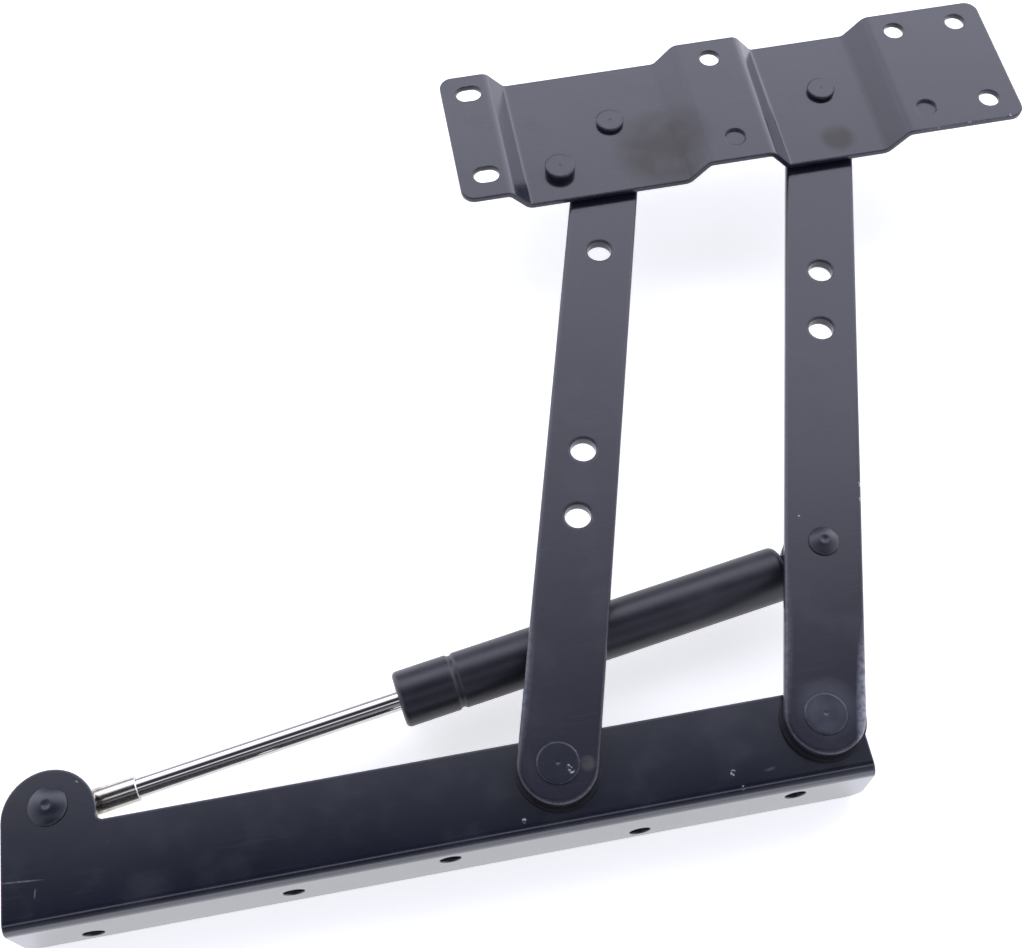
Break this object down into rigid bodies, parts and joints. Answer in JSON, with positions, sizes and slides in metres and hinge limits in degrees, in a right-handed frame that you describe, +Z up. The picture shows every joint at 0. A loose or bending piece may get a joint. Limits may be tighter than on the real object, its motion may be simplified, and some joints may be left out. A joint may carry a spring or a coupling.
{
  "type": "lift top table mechanism",
  "caption": "Parallelogram lift-top table hinge: angled base rail, parallel swing arms, pressed top plate and a gas spring between the rail's ear and an arm.",
  "frame": {"origin": "centre of the base rail's middle screw hole, on the underside of the flange", "axes": "+X along the base rail from the gas spring's ear to the right arm, +Z up from the flange to the top plate, -Y the side of the arms and the plate, +Y the side of the flange and the gas spring. Raised position."},
  "size_m": [0.4653, 0.0505, 0.3433],
  "materials": {
    "rail_paint": "blue-black gloss electrocoat on cold rolled steel",
    "arm_paint": "dark grey satin powder coat with worn edges",
    "plate_paint": "dark grey satin powder coat on pressed sheet steel",
    "tube_paint": "black satin enamel on steel tube",
    "nylon": "black nylon",
    "zinc_steel": "turned steel, zinc plated",
    "nickel": "nickel plated steel, warm",
    "chrome": "hard chrome, polished",
    "rubber": "black nitrile rubber"
  },
  "bodies": {
    "base": {"base_rail": "rail_paint", "left_base_rivet": "rail_paint", "right_base_rivet": "rail_paint", "left_base_washer": "nylon", "right_base_washer": "nylon", "ear_rivet": "rail_paint", "ear_spacer": "zinc_steel", "ear_washer": "zinc_steel"},
    "left_arm": {"left_arm": "arm_paint"},
    "right_arm": {"right_arm": "arm_paint", "arm_pin": "rail_paint", "arm_pin_spacer": "zinc_steel"},
    "top_plate": {"top_plate": "plate_paint", "left_plate_rivet": "plate_paint", "right_plate_rivet": "plate_paint", "left_plate_washer": "nylon", "right_plate_washer": "nylon", "stop_pin": "plate_paint"},
    "strut_rod": {"rod_end": "nickel", "piston_rod": "chrome", "piston": "zinc_steel", "piston_ring": "rubber"},
    "strut_tube": {"spring_tube": "tube_paint", "rod_guide": "zinc_steel", "rod_seal": "rubber", "tube_eye": "tube_paint", "eye_bush": "nickel"}
  },
  "joints": [
    {"name": "left_arm_swing", "type": "hinge", "parent": "base", "child": "left_arm", "pos_m": [0.044, -0.015, 0.023], "axis": [0, -1, 0], "range_deg": [0, 85.6]},
    {"name": "right_arm_swing", "type": "hinge", "parent": "base", "child": "right_arm", "pos_m": [0.144, -0.015, 0.023], "axis": [0, -1, 0], "range_deg": [0, 85.6]},
    {"name": "plate_level", "type": "hinge", "parent": "left_arm", "child": "top_plate", "pos_m": [0.12518, -0.015, 0.31181], "axis": [0, -1, 0], "range_deg": [-85.6, 0]},
    {"name": "strut_swing", "type": "hinge", "parent": "base", "child": "strut_rod", "pos_m": [-0.1408, 0.001, 0.043], "axis": [0, -1, 0], "range_deg": [-7.85, 0]},
    {"name": "strut_slide", "type": "slide", "parent": "strut_rod", "child": "strut_tube", "axis": [0.988, 0, 0.1542], "range_m": [-0.0884, 0], "stiffness_N_per_m": 100, "springref_m": 1}
  ],
  "couplings": [
    {"joint": "right_arm_swing", "follows": "left_arm_swing", "ratio": 1},
    {"joint": "plate_level", "follows": "left_arm_swing", "ratio": -1},
    {"joint": "strut_swing", "follows": "left_arm_swing", "ratio": -0.091201},
    {"joint": "strut_slide", "follows": "left_arm_swing", "m_per_rad": -0.059113}
  ]
}
